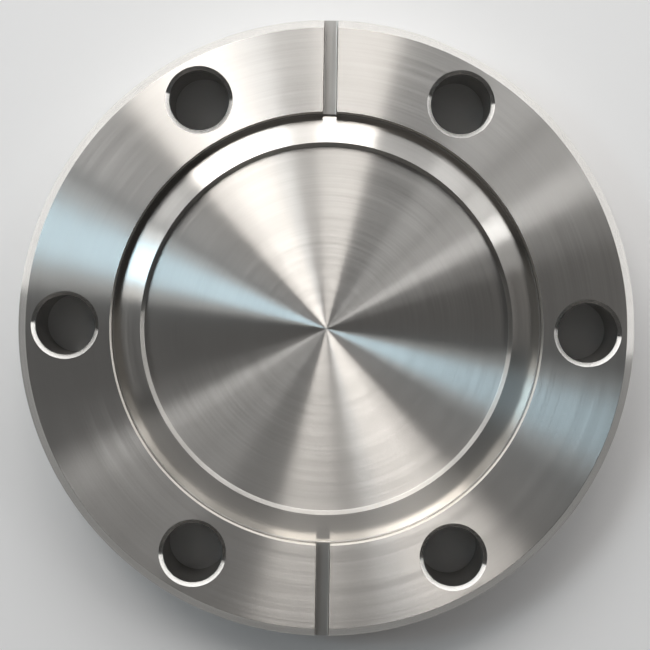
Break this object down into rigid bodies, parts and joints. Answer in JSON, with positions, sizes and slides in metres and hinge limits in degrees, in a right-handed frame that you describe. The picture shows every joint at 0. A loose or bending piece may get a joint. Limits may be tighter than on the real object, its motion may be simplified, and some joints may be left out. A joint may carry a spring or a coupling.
{
  "type": "blank vacuum flange",
  "caption": "Round blank steel flange with a circular knife edge in a shallow gasket recess, a ring of through bolt holes and radial leak-check grooves.",
  "frame": {"origin": "centre of the flat back face, where the flange's axis meets it", "axes": "+Z along the flange's axis, out of the knife-edge side; +Y towards one leak-check groove, midway between two bolt holes; +X towards a bolt hole"},
  "size_m": [0.0694, 0.0694, 0.0127],
  "materials": {
    "stainless_steel": "bare stainless steel, lathe-faced in fine rings about the axis"
  },
  "bodies": {
    "root": {"blank_flange": "stainless_steel"}
  },
  "joints": []
}
